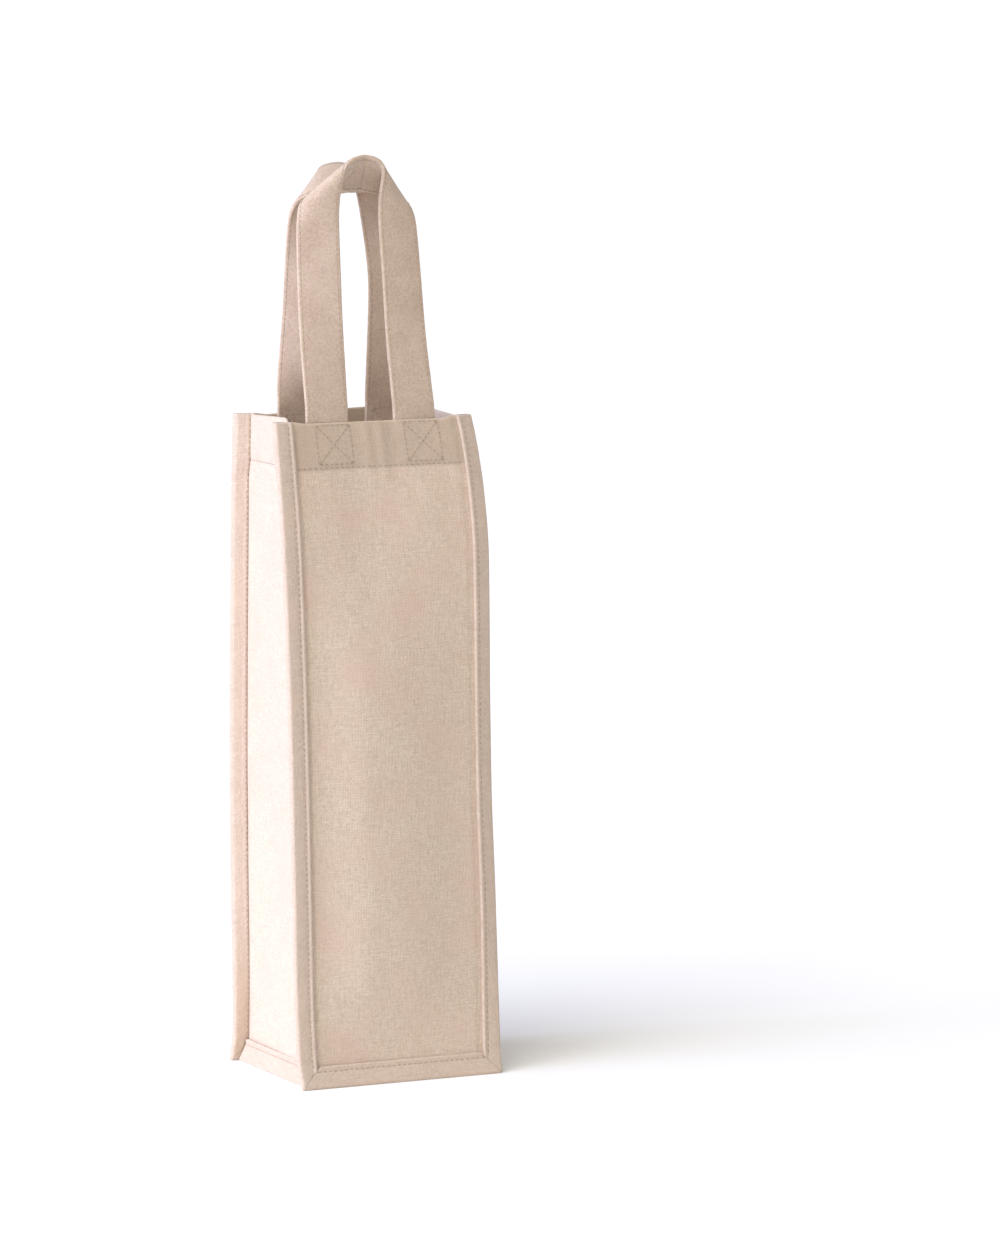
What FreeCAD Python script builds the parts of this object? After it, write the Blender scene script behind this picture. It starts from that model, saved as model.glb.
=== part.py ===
import FreeCAD, Part
import Sketcher
import os
from math import acos, atan, cos, radians, sin, sqrt, tan

# Canvas carrier for one bottle: five cloth panels sewn with their seams outside, bound edges,
# and two folded strap handles. Millimetres, +Z up, the front faces -Y, the origin is under the
# middle of the outline, on the surface that the bag stands on.

V = FreeCAD.Vector
doc = FreeCAD.newDocument("bottle_carrier")
dims = doc.addObject("Spreadsheet::Sheet", "dims")

SIZES = [
    ("height", 350.0, "mouth edge above the floor"),
    ("seam_width", 99.0, "between the side seams"),
    ("seam_depth", 91.0, "between the outer faces of front and back panel"),
    ("cloth", 0.8, "canvas thickness"),
    ("hem_height", 27.0, "depth of the turned-in hem at the mouth"),
    ("hem_step", 1.0, "height over which the hem's edge thickens the panel"),
    ("front_shift", 12.5, "the front panel's mouth edge stands this far to the left"),
    ("back_shift", 3.0, "the back panel's mouth edge stands this far to the right"),
    ("flange", 8.5, "seam that stands out beyond the panels, with its binding"),
    ("binding", 1.2, "thickness of the folded binding strip"),
    ("binding_lap", 2.0, "binding past the seam, over the panel"),
    ("binding_end", 0.5, "binding's inner arm stops this far short of the next panel"),
    ("base_level", 10.0, "top of the base cloth above the floor"),
    ("flare", 2.5, "the base seams spread outwards by this at the floor"),
    ("flare_blend", 2.0, "the spread starts this far above the base binding"),
    ("layer_gap", 0.15, "room between sewn layers"),
    ("strap_width", 25.0, "handle strap"),
    ("strap_thickness", 2.4, "canvas folded in four"),
    ("leg_share", 0.515, "between the middles of one handle's legs, as a share of the seam width"),
    ("front_offset", 2.5, "front handle left of its panel's middle"),
    ("rear_offset", 2.5, "rear handle right of its panel's middle"),
    ("front_rise", 136.0, "top of the front handle above the mouth edge"),
    ("rear_rise", 134.0, "top of the rear handle above the mouth edge"),
    ("front_fold_angle", 125.0, "turn of each slanting fold of the front handle, degrees"),
    ("rear_fold_angle", 148.0, "turn of each slanting fold of the rear handle, degrees"),
    ("fold_radius", 4.5, "radius of the slanting folds at the strap's middle layer"),
    ("front_crown", 8.0, "half length of the bend at the top of the front handle"),
    ("rear_crown", 6.0, "half length of the bend at the top of the rear handle"),
    ("front_lean_angle", 6.0, "the front handle leans in by this, degrees"),
    ("rear_lean_angle", 5.0, "the rear handle leans in by this, degrees"),
    ("leg_taper", 0.09, "share by which a handle narrows towards its top"),
    ("root_gap", 0.4, "free strap starts this far above the mouth edge"),
    ("sewn_length", 23.0, "strap end sewn inside the hem"),
    ("sewn_drop", 0.5, "sewn strap end stops this far below the mouth edge"),
    ("thread_width", 0.6, "stitch row across"),
    ("thread_height", 0.3, "stitch row standing proud"),
    ("thread_gap", 0.05, "room between a stitch row and the cloth"),
    ("row_inset", 0.9, "binding's stitch row outside the seam"),
    ("hem_row", 2.0, "hem's stitch row above the hem's edge"),
    ("box_inset", 1.2, "box stitches inside the strap's outline"),
    ("strap_row", 2.0, "strap's stitch row inside its edge"),
]
for row, (alias, value, note) in enumerate(SIZES, start=1):
    dims.set("A%d" % row, str(value))
    dims.set("B%d" % row, note)
    dims.setAlias("A%d" % row, alias)
doc.recompute()


def size(alias):
    return float(dims.get(alias))


height = size("height")
cloth = size("cloth")
gap = size("layer_gap")
flange = size("flange")
binding = size("binding")
lap = size("binding_lap")
base_level = size("base_level")
half_width = size("seam_width") / 2
half_depth = size("seam_depth") / 2
hem_line = height - size("hem_height")
flare_top = base_level + lap + size("flare_blend")
# The outline's middle lies half way between the shifted mouth edges.
middle = (size("front_shift") - size("back_shift")) / 2
leg_spacing = size("leg_share") * size("seam_width")
PANEL_STATIONS = 10
LEAN_POWER = 3

# Levels at which every piece of cloth has a section, so that neighbours stay parallel between them.
levels = []
for step in range(PANEL_STATIONS):
    levels.append(flare_top + (hem_line - flare_top) * step / PANEL_STATIONS)
levels += [hem_line, hem_line + size("hem_step"), height]


# Where the cloth stands at a height


def spread(z, top):
    # The seams round the base lean out from this height down to the floor.
    return size("flare") * max(0.0, 1 - z / top)


def level_share(z):
    return ((z - flare_top) / (height - flare_top)) ** LEAN_POWER


def shift_share(z):
    for low, high in zip(levels, levels[1:]):
        if low <= z <= high:
            part_way = (z - low) / (high - low)
            return level_share(low) + (level_share(high) - level_share(low)) * part_way
    return 0.0


def front_x(x, z):
    return middle + x - size("front_shift") * shift_share(z)


def back_x(x, z):
    return middle + x + size("back_shift") * shift_share(z)


def seam_x(face, x, z):
    return front_x(x, z) if face < 0 else back_x(x, z)


def face_y(face, z, inward=0.0):
    return face * (half_depth + spread(z, flare_top) - inward)


def layer(z):
    grown = (z - hem_line) / size("hem_step")
    return cloth * (1 + min(1.0, max(0.0, grown)))


def ruled(sections):
    wires = []
    for points in sections:
        wires.append(Part.makePolygon(points + points[:1]))
    return Part.makeLoft(wires, True, True)


def add_part(label, shape):
    part = doc.addObject("Part::Feature", label)
    part.Label = label
    part.Shape = shape
    part.Placement = FreeCAD.Placement()
    return part


# Panels


def broad_panel(face):
    edge = half_width + flange - binding - gap

    def section(z):
        left = seam_x(face, -edge, z)
        right = seam_x(face, edge, z)
        outer = face_y(face, z)
        inner = face_y(face, z, layer(z))
        return [V(left, outer, z), V(right, outer, z), V(right, inner, z), V(left, inner, z)]

    return ruled([section(z) for z in [binding + gap] + levels])


def side_panel(side):
    def section(z):
        reach = side * (flange - binding - gap)
        wall = side * layer(z)
        front = face_y(-1, z, layer(z) + gap)
        back = face_y(1, z, layer(z) + gap)
        x_front = seam_x(-1, side * half_width, z)
        x_back = seam_x(1, side * half_width, z)
        return [
            V(x_front + reach, front, z),
            V(x_front - wall, front, z),
            V(x_back - wall, back, z),
            V(x_back + reach, back, z),
            V(x_back + reach, back - layer(z), z),
            V(x_back, back - layer(z), z),
            V(x_front, front + layer(z), z),
            V(x_front + reach, front + layer(z), z),
        ]

    return ruled([section(z) for z in [base_level + gap] + levels])


def polygon_sketch(body, plane_role, name, corners):
    sketch = body.newObject("Sketcher::SketchObject", name)
    plane = [f for f in body.Origin.OriginFeatures if f.Role == plane_role][0]
    sketch.AttachmentSupport = [(plane, "")]
    sketch.MapMode = "FlatFace"
    count = len(corners)
    start = []
    for i in range(count):
        turn = radians(360.0 * i / count)
        start.append(V(cos(turn), sin(turn), 0) * half_width)
    for i in range(count):
        sketch.addGeometry(Part.LineSegment(start[i], start[(i + 1) % count]), False)
    for i in range(count):
        sketch.addConstraint(Sketcher.Constraint("Coincident", i, 2, (i + 1) % count, 1))
    for i, (across, upward) in enumerate(corners):
        for kind, value, formula in (("DistanceX", start[i].x, across), ("DistanceY", start[i].y, upward)):
            number = sketch.addConstraint(Sketcher.Constraint(kind, -1, 1, i, 1, value))
            sketch.setExpression("Constraints[%d]" % number, formula)
    return sketch


def base_profile(half, top):
    # Base cloth with two turned-down seam flaps that follow the spread of the base seams.
    edge = "(" + half + " - dims.cloth - dims.layer_gap + dims.flare * (1 - %s / " + top + "))"
    foot = "(dims.binding + dims.layer_gap)"
    top_out = edge % "dims.base_level"
    foot_out = edge % foot
    under = "(dims.base_level - dims.cloth)"
    under_in = (edge % under) + " - dims.cloth"
    foot_in = foot_out + " - dims.cloth"
    return [
        ("-" + top_out, "dims.base_level"),
        (top_out, "dims.base_level"),
        (foot_out, foot),
        (foot_in, foot),
        (under_in, under),
        ("-(" + under_in + ")", under),
        ("-(" + foot_in + ")", foot),
        ("-" + foot_out, foot),
    ]


def base_panel():
    body = doc.addObject("PartDesign::Body", "base_panel")
    body.Label = "base_panel"
    side_flaps = base_profile("dims.seam_width / 2", "dims.base_level")
    across = polygon_sketch(body, "XZ_Plane", "base_across", side_flaps)
    across_pad = body.newObject("PartDesign::Pad", "base_across_pad")
    across_pad.Profile = across
    across_pad.Midplane = True
    # The side flaps stop clear of the seams that stand out at the four corners.
    corner = "4 * (dims.cloth + dims.binding + 2 * dims.layer_gap)"
    across_pad.setExpression("Length", "dims.seam_depth - " + corner)
    broad_top = "(dims.base_level + dims.binding_lap + dims.flare_blend)"
    broad_flaps = base_profile("dims.seam_depth / 2", broad_top)
    along = polygon_sketch(body, "YZ_Plane", "base_along", broad_flaps)
    along_pad = body.newObject("PartDesign::Pad", "base_along_pad")
    along_pad.Profile = along
    along_pad.Midplane = True
    along_pad.setExpression("Length", "dims.seam_width - 2 * (dims.cloth + dims.layer_gap)")
    body.setExpression("Placement.Base.x", "(dims.front_shift - dims.back_shift) / 2")
    return body


# Bindings, folded round the seams


def base_binding_profile(half, top):
    def outer(z):
        return half + spread(z, top) + gap

    def inner(z):
        return half + spread(z, top) - 2 * (cloth + gap)

    top_out = base_level + lap
    top_in = base_level - cloth - size("binding_end")
    return [
        (outer(top_out), top_out),
        (outer(base_level), base_level),
        (outer(binding), binding),
        (inner(binding), binding),
        (inner(top_in), top_in),
        (inner(top_in) - binding, top_in),
        (inner(0) - binding, 0.0),
        (outer(0) + binding, 0.0),
        (outer(base_level) + binding, base_level),
        (outer(top_out) + binding, top_out),
    ]


def broad_base_binding(face):
    # Ends are mitred against the upright bindings.
    def end(side):
        points = []
        for out, z in base_binding_profile(half_depth, flare_top):
            reach = half_width + flange - z - gap
            points.append(V(seam_x(face, side * reach, z), face * out, z))
        return points

    return ruled([end(-1), end(1)])


def side_base_binding(side):
    clear = 2 * (cloth + gap) + gap + binding + size("binding_end")

    def end(face):
        points = []
        for out, z in base_binding_profile(half_width, base_level):
            points.append(V(middle + side * out, face_y(face, z, clear), z))
        return points

    return ruled([end(-1), end(1)])


def upright_binding(face, side):
    def section(z, mitre=False):
        tip = half_width + flange
        inner_end = half_width + size("binding_end")
        arms = [
            (half_width - lap, False, 0),
            (tip - binding, False, 0),
            (tip - binding, True, 0),
            (inner_end, True, 0),
            (inner_end, True, 1),
            (tip, True, 1),
            (tip, False, 1),
            (half_width - lap, False, 1),
        ]
        points = []
        for reach, behind, outer in arms:
            level = tip - reach + gap if mitre else z
            if behind:
                inward = 2 * layer(level) + 2 * gap + outer * binding
            else:
                inward = -gap - outer * binding
            points.append(V(seam_x(face, side * reach, level), face_y(face, level, inward), level))
        return points

    return ruled([section(0, True)] + [section(z) for z in levels])


# Stitch rows: flat strips that lie on the cloth


def upright_row(face, side):
    out = half_width + size("row_inset")
    half = size("thread_width") / 2
    rows = []
    for behind in (False, True):
        def section(z):
            if behind:
                near = 2 * layer(z) + 2 * gap + binding + size("thread_gap")
                far = near + size("thread_height")
            else:
                near = -gap - binding - size("thread_gap")
                far = near - size("thread_height")
            near_y = face_y(face, z, near)
            far_y = face_y(face, z, far)
            one = seam_x(face, side * (out - half), z)
            two = seam_x(face, side * (out + half), z)
            return [V(one, near_y, z), V(two, near_y, z), V(two, far_y, z), V(one, far_y, z)]

        low = flange + lap if behind else base_level
        rows.append(ruled([section(z) for z in [low] + levels]))
    return rows


def base_row(half, top, place, start, stop):
    # One row on the outside of a base binding, seen in the frame of that side.
    low = base_level - size("row_inset") - size("thread_width") / 2
    high = low + size("thread_width")

    def end(along):
        points = []
        for z, proud in ((low, 0), (high, 0), (high, 1), (low, 1)):
            face = half + spread(z, top) + gap + binding
            out = face + size("thread_gap") + proud * size("thread_height")
            points.append(place(along, out, z))
        return points

    return ruled([end(start), end(stop)])


def broad_hem_row(face):
    low = hem_line + size("hem_row")
    edge = half_width - lap - gap
    rows = []
    for inside in (False, True):
        def section(z):
            if inside:
                near = layer(z) + size("thread_gap")
                far = near + size("thread_height")
            else:
                near = -size("thread_gap")
                far = near - size("thread_height")
            inset = 2 * layer(z) + gap if inside else 0.0
            left = seam_x(face, -edge + inset, z)
            right = seam_x(face, edge - inset, z)
            near_y = face_y(face, z, near)
            far_y = face_y(face, z, far)
            return [V(left, near_y, z), V(right, near_y, z), V(right, far_y, z), V(left, far_y, z)]

        rows.append(ruled([section(low), section(low + size("thread_width"))]))
    return rows


def side_hem_row(side):
    low = hem_line + size("hem_row")
    clear = 4 * (cloth + gap) + binding + gap

    def section(z):
        points = []
        corner = 2 * layer(z) + gap
        share = (clear - corner) / (2 * (half_depth - corner))
        for face, proud in ((-1, 0), (1, 0), (1, 1), (-1, 1)):
            out = half_width + size("thread_gap") + proud * size("thread_height")
            one = seam_x(face, side * out, z)
            other = seam_x(-face, side * out, z)
            points.append(V(one + (other - one) * share, face_y(face, z, clear), z))
        return points

    return [ruled([section(low), section(low + size("thread_width"))])]


# Handles


def handle_values(name):
    face = -1 if name == "front" else 1
    shift = -size("front_shift") - size("front_offset") if face < 0 else size("back_shift") + size("rear_offset")
    return {
        "face": face,
        "centre": middle + shift,
        "fold": radians(size(name + "_fold_angle")),
        "crown": size(name + "_crown"),
        "rise": size(name + "_rise"),
        "lean": radians(size(name + "_lean_angle")),
    }


def handle_form(name):
    # A flat strap, folded on a slant at the top of each leg and bent once more in its middle.
    # u runs along the strap, v across it towards the other leg, w through it towards the mouth.
    hand = handle_values(name)
    fold = hand["fold"]
    radius = size("fold_radius")
    slant = atan(1 / sqrt(-cos(fold)))
    sideways = sin(slant) * cos(slant) * (1 - cos(fold))
    crown = hand["crown"]
    crown_radius = crown / acos(sideways)
    band = radius * fold / 2

    def folded(u, v, w, turn_at, top_at):
        past = u - (top_at - crown)
        if past > 0:
            angle = past / crown_radius
            u = top_at - crown + (crown_radius - w) * sin(angle)
            w = crown_radius - (crown_radius - w) * cos(angle)
        cross = (u - turn_at) * cos(slant) - v * sin(slant)
        along = (u - turn_at) * sin(slant) + v * cos(slant)
        if cross > band:
            beyond = cross - band
            cross = -band + (radius - w) * sin(fold) + beyond * cos(fold)
            w = radius - (radius - w) * cos(fold) + beyond * sin(fold)
        elif cross > -band:
            angle = (cross + band) / radius
            cross = -band + (radius - w) * sin(angle)
            w = radius - (radius - w) * cos(angle)
        return (
            along * cos(slant) - cross * sin(slant),
            w,
            turn_at + along * sin(slant) + cross * cos(slant),
        )

    # The stretch from the fold to the middle brings the strap to the middle between its legs,
    # and the fold stands so high that the upper edge reaches the handle's rise.
    edge = size("strap_width") / 2
    trial_turn = hand["rise"]
    trial_top = trial_turn + 2 * leg_spacing
    reached = folded(trial_top, 0, 0, trial_turn, trial_top)[0]
    top_at = trial_top + (leg_spacing / 2 - reached) / sideways
    highest = folded(top_at, edge, 0, trial_turn, top_at)[2]
    turn_at = trial_turn + hand["rise"] - highest
    top_at += turn_at - trial_turn

    root_y = hand["face"] * (half_depth - 2 * cloth - gap - size("strap_thickness") / 2)
    root_z = height + size("root_gap")

    def point(u, v, w):
        mirrored = u > top_at
        x, depth, rise = folded(2 * top_at - u if mirrored else u, v, w, turn_at, top_at)
        x = (x - leg_spacing / 2) * (1 - size("leg_taper") * rise / hand["rise"])
        if mirrored:
            x = -x
        inward = depth * cos(hand["lean"]) + rise * sin(hand["lean"])
        upward = rise * cos(hand["lean"]) - depth * sin(hand["lean"])
        return V(hand["centre"] + x, root_y - hand["face"] * inward, root_z + upward)

    return point, 2 * top_at


STRAP_STATIONS = 161
STRAP_COLUMNS = 13
STRAP_PATCHES = 40


def strap_strip(point, length, across, through):
    # Solid between two smooth faces; across and through give its edges in v and in w.
    # The faces are cut into patches along the strap, which keeps their areas and volumes exact,
    # and a narrow strip is cut out of a face as wide as the strap, so that it lies along it.
    edge = size("strap_width") / 2
    faces = []
    rims = []
    for w in through:
        grid = []
        for i in range(STRAP_STATIONS):
            u = length * i / (STRAP_STATIONS - 1)
            grid.append([])
            for j in range(STRAP_COLUMNS):
                v = edge * (2 * j / (STRAP_COLUMNS - 1) - 1)
                grid[-1].append(point(u, v, w))
        surface = Part.BSplineSurface()
        surface.interpolate(grid)
        u0, u1, v0, v1 = surface.bounds()
        start, stop = [v0 + (v1 - v0) * (v + edge) / (2 * edge) for v in across]
        cuts = surface.getUKnots()[:: (STRAP_STATIONS - 1) // STRAP_PATCHES]
        surface.segment(u0, u1, start, stop)
        edges = {"ends": [surface.uIso(u).toShape() for u in (u0, u1)], "rows": []}
        for low, high in zip(cuts, cuts[1:]):
            patch = surface.copy()
            patch.segment(low, high, start, stop)
            faces.append(patch.toShape())
            for v in (start, stop):
                edges["rows"].append(patch.vIso(v).toShape())
        rims.append(edges)
    for kind in ("ends", "rows"):
        for one, other in zip(rims[0][kind], rims[1][kind]):
            faces.append(Part.makeRuledSurface(one, other))
    shell = Part.makeShell(faces)
    shell.sewShape()
    solid = Part.makeSolid(shell)
    if solid.Volume < 0:
        solid.reverse()
    return solid


def handle_loop(name):
    point, length = handle_form(name)
    edge = size("strap_width") / 2
    skin = size("strap_thickness") / 2
    return strap_strip(point, length, (-edge, edge), (-skin, skin))


def handle_rows(name):
    point, length = handle_form(name)
    edge = size("strap_width") / 2 - size("strap_row")
    half = size("thread_width") / 2
    skin = size("strap_thickness") / 2 + size("thread_gap")
    rows = []
    for v in (-edge, edge):
        for through in ((-skin - size("thread_height"), -skin), (skin, skin + size("thread_height"))):
            rows.append(strap_strip(point, length, (v - half, v + half), through))
    return Part.makeCompound(rows)


def handle_ends(name):
    # Two flat strap ends inside the hem, one under each leg.
    if name == "front":
        centre = "(dims.front_shift - dims.back_shift) / 2 - dims.front_shift - dims.front_offset"
        inner = "-dims.seam_depth / 2 + 2 * dims.cloth + dims.layer_gap"
    else:
        centre = "(dims.front_shift - dims.back_shift) / 2 + dims.back_shift + dims.rear_offset"
        inner = "dims.seam_depth / 2 - 2 * dims.cloth - dims.layer_gap - dims.strap_thickness"
    ends = []
    for side, sign in (("left", "-"), ("right", "+")):
        box = doc.addObject("Part::Box", name + "_" + side + "_strap_end")
        box.setExpression("Length", "dims.strap_width")
        box.setExpression("Width", "dims.strap_thickness")
        box.setExpression("Height", "dims.sewn_length")
        leg = centre + " " + sign + " dims.leg_share * dims.seam_width / 2 - dims.strap_width / 2"
        box.setExpression("Placement.Base.x", leg)
        box.setExpression("Placement.Base.y", inner)
        box.setExpression("Placement.Base.z", "dims.height - dims.sewn_drop - dims.sewn_length")
        ends.append(box)
    pair = doc.addObject("Part::Compound", name + "_handle_ends")
    pair.Links = ends
    pair.Label = name + "_handle_ends"
    return pair


def box_stitches(name):
    # A stitched box with a cross, on the outside of the hem, for each strap end.
    hand = handle_values(name)
    face = hand["face"]
    half = size("thread_width") / 2
    reach = size("strap_width") / 2 - size("box_inset")
    top = height - size("sewn_drop") - size("box_inset")
    bottom = height - size("sewn_drop") - size("sewn_length") + size("box_inset")
    near = half_depth + size("thread_gap")
    far = near + size("thread_height")
    boxes = []
    for side in (-1, 1):
        x = hand["centre"] + side * leg_spacing / 2
        left, right = x - reach, x + reach
        runs = [
            ((left, bottom), (right, bottom)),
            ((right, bottom), (right, top)),
            ((right, top), (left, top)),
            ((left, top), (left, bottom)),
            ((left, bottom), (right, top)),
            ((left, top), (right, bottom)),
        ]
        strips = []
        for (x0, z0), (x1, z1) in runs:
            run = V(x1 - x0, 0, z1 - z0)
            step = V(run.z, 0, -run.x).normalize() * half
            start = V(x0, face * near, z0)
            corners = [start - step, start - step + run, start + step + run, start + step]
            strip = Part.Face(Part.makePolygon(corners + corners[:1]))
            strips.append(strip.extrude(V(0, face * (far - near), 0)))
        boxes.append(strips[0].multiFuse(strips[1:]).removeSplitter())
    return Part.makeCompound(boxes)


# The parts, by the names of their files

parts = [
    add_part("front_panel", broad_panel(-1)),
    add_part("back_panel", broad_panel(1)),
    add_part("left_side_panel", side_panel(-1)),
    add_part("right_side_panel", side_panel(1)),
    base_panel(),
]
faces = {"front": -1, "back": 1}
sides = {"left": -1, "right": 1}
for face_name, face in faces.items():
    for side_name, side in sides.items():
        parts.append(add_part("%s_%s_binding" % (face_name, side_name), upright_binding(face, side)))
    parts.append(add_part(face_name + "_base_binding", broad_base_binding(face)))
    row_end = half_width + size("row_inset") - size("thread_width") - gap
    rows = upright_row(face, -1) + upright_row(face, 1)
    place = lambda x, out, z: V(middle + x, face * out, z)
    rows.append(base_row(half_depth, flare_top, place, -row_end, row_end))
    parts.append(add_part(face_name + "_binding_thread", Part.makeCompound(rows)))
    parts.append(add_part(face_name + "_hem_thread", Part.makeCompound(broad_hem_row(face))))
for side_name, side in sides.items():
    parts.append(add_part(side_name + "_base_binding", side_base_binding(side)))
    row_end = half_depth - 4 * (cloth + gap) - binding
    place = lambda y, out, z: V(middle + side * out, y, z)
    row = base_row(half_width, base_level, place, -row_end, row_end)
    parts.append(add_part(side_name + "_base_thread", row))
    parts.append(add_part(side_name + "_hem_thread", Part.makeCompound(side_hem_row(side))))
for name in ("front", "rear"):
    parts.append(add_part(name + "_handle", handle_loop(name)))
    parts.append(add_part(name + "_handle_thread", handle_rows(name)))
    parts.append(handle_ends(name))
    parts.append(add_part(name + "_box_stitches", box_stitches(name)))

doc.recompute()

for item in doc.Objects:
    if "Invalid" in item.State or "Error" in item.State:
        raise RuntimeError("%s failed: %s" % (item.Label, item.State))
for part in parts:
    if part.Shape.isNull() or not part.Shape.isValid():
        raise RuntimeError("%s has no valid shape" % part.Label)
    if not part.Shape.Solids:
        raise RuntimeError("%s holds no solid" % part.Label)
    print("%-24s solids %d  volume %.1f" % (part.Label, len(part.Shape.Solids), part.Shape.Volume))

os.makedirs("parts", exist_ok=True)
for part in parts:
    part.Shape.exportStep("parts/%s.step" % part.Label)
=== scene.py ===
from math import acos, atan, cos, exp, pi, radians, sin, sqrt

import bpy
import numpy as np
from mathutils import Matrix, Vector, noise


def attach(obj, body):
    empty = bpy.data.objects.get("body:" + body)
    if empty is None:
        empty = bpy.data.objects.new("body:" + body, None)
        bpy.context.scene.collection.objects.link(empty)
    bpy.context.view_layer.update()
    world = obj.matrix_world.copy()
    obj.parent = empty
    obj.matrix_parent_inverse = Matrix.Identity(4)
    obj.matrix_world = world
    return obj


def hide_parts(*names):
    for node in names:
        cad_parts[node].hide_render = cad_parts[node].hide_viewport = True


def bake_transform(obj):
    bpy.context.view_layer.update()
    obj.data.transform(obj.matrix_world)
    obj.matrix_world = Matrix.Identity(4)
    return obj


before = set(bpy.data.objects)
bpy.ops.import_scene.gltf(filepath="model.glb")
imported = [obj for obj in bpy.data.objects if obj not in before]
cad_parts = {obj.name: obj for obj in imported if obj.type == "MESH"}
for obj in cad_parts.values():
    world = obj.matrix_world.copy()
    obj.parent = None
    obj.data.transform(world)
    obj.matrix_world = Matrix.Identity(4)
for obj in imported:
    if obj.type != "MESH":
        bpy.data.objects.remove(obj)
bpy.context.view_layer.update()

mm = 0.001

bag = {
    # sizes of the sewn bag in mm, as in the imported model
    "height": 350.0, "halfWidth": 49.5, "halfDepth": 45.5, "flange": 8.5,
    "cloth": 0.8, "layerGap": 0.15, "hem": 27.0, "baseLevel": 10.0,
    "middle": 4.75,  # x of the base's centre
    "flare": 2.5, "flareTop": 14.0,  # front and back spread towards the floor
    # only here, where the cloth is softer
    "flareBend": 1.3,
    "hemStep": 3.0,  # the cloth grows double over this height
    "topSag": 1.1,  # the mouth's edges hang a little between the stiff seams
    "backDrop": 3.4, "dropFrom": 210.0,  # the back's left corner has slumped
}
hemLine = bag["height"] - bag["hem"]
faces = {"front": -1, "back": 1}
sides = {"left": -1, "right": 1}

# how far the front panel's two edges lean at each height, in mm
frontLean = {
    "left": [(-20, 0), (0, 0), (14, -1.5), (47, -3.1), (100, -4.0), (180, -5.5), (232, -7.1), (285, -9.2),
             (321, -11.6), (350, -13.9), (380, -16)],
    "right": [(-20, 0), (0, 0), (39, -0.7), (92, -1.6), (146, -3.8), (200, -4.8), (252, -5.2), (284, -5.9),
              (310, -8.4), (326, -10.7), (341, -13.6), (350, -15.8), (380, -22)],
}
# the back panel's edges stand the other way
backLean = {
    "left": [(-20, 0), (0, 0), (14, 0.9), (50, 1.5), (110, 0.9), (180, 0.8), (245, 1.5), (290, 2.1),
             (325, 2.7), (350, 3.3), (380, 4)],
    "right": [(-20, 0), (14, 0), (180, 0.6), (260, 1.3), (310, 2.1), (350, 3.0), (380, 4)],
}


def smooth(x):
    x = min(1.0, max(0.0, x))
    return x * x * (3 - 2 * x)


def curve(points, z):
    # smooth line through the points
    for i in range(1, len(points) - 2):
        if z <= points[i + 1][0]:
            break
    (z0, a), (z1, b), (z2, c), (z3, d) = points[i - 1:i + 3]
    t = (z - z1) / (z2 - z1)
    slopeIn = (c - a) / (z2 - z0) * (z2 - z1)
    slopeOut = (d - b) / (z3 - z1) * (z2 - z1)
    return ((2 * t**3 - 3 * t**2 + 1) * b + (t**3 - 2 * t**2 + t) * slopeIn
            + (3 * t**2 - 2 * t**3) * c + (t**3 - t**2) * slopeOut)


def edgeLean(face, z):
    # face is -1 at the front and 1 at the back
    lean = frontLean if face < 0 else backLean
    return curve(lean["left"], z), curve(lean["right"], z)


def seamX(face, x, z):
    left, right = edgeLean(face, z)
    share = (x / (bag["halfWidth"] + bag["flange"]) + 1) / 2
    return bag["middle"] + x + left * (1 - share) + right * share


def seamY(z):
    return bag["halfDepth"] + bag["flare"] * max(0.0, 1 - z / bag["flareTop"]) ** bag["flareBend"]


def panelX(face, x, z):
    # the other way round: place on the panel of a point at x
    left, right = edgeLean(face, z)
    widen = (right - left) / 2 / (bag["halfWidth"] + bag["flange"])
    return (x - bag["middle"] - (left + right) / 2) / (1 + widen)


def slump(face, x, z):
    if face < 0:
        return 0.0
    leftShare = (1 - x / (bag["halfWidth"] + bag["flange"])) / 2
    return bag["backDrop"] * leftShare * smooth((z - bag["dropFrom"]) / (bag["height"] - bag["dropFrom"]))


# how far each upright flange leans backwards, in degrees, by face and side
flangeLean = {(-1, -1): 0.0, (-1, 1): 14.0, (1, -1): 26.0, (1, 1): 16.0}
flangeBend = {"width": 3.0, "from": 6.0, "over": 90.0}  # it bends beside the seam, and not near the floor


def onSeam(face, x, depth, z):
    # a point of the front or the back, depth inwards from the panel's outer face
    side, out = (1 if x > 0 else -1), abs(x) - bag["halfWidth"]
    y = face * (seamY(z) - depth)
    if out > 0:
        lean = radians(flangeLean[face, side]) * smooth(out / flangeBend["width"])
        lean *= smooth((z - flangeBend["from"]) / flangeBend["over"])
        x, y = side * (bag["halfWidth"] + out * cos(lean)), y + out * sin(lean)
    return seamX(face, x, z), y, z - slump(face, x, z)


def layers(z):
    # thickness of a panel, double above the hem's edge
    return bag["cloth"] * (1 + smooth((z - hemLine) / bag["hemStep"]))


def deselectAll():
    bpy.ops.object.select_all(action="DESELECT")


def layGrid(name, across, along, place):
    # a flat grid, each point moved to its place on the bag and mapped to its place on the flat cloth
    deselectAll()
    bpy.ops.mesh.primitive_grid_add(x_subdivisions=across, y_subdivisions=along, size=2)
    piece = bpy.context.object
    piece.name = piece.data.name = name
    weave = piece.data.uv_layers.active
    weave.name = "weave"
    onCloth = []
    for vertex in piece.data.vertices:
        point, flat = place((vertex.co.x + 1) / 2, (vertex.co.y + 1) / 2)
        vertex.co = Vector(point) * mm
        onCloth.append((flat[0] * mm, flat[1] * mm))
    for loop in piece.data.loops:
        weave.data[loop.index].uv = onCloth[loop.vertex_index]
    return piece


def faceOutwards():
    bpy.ops.object.mode_set(mode="EDIT")
    bpy.ops.mesh.select_all(action="SELECT")
    bpy.ops.mesh.normals_make_consistent(inside=False)
    bpy.ops.object.mode_set(mode="OBJECT")


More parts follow.
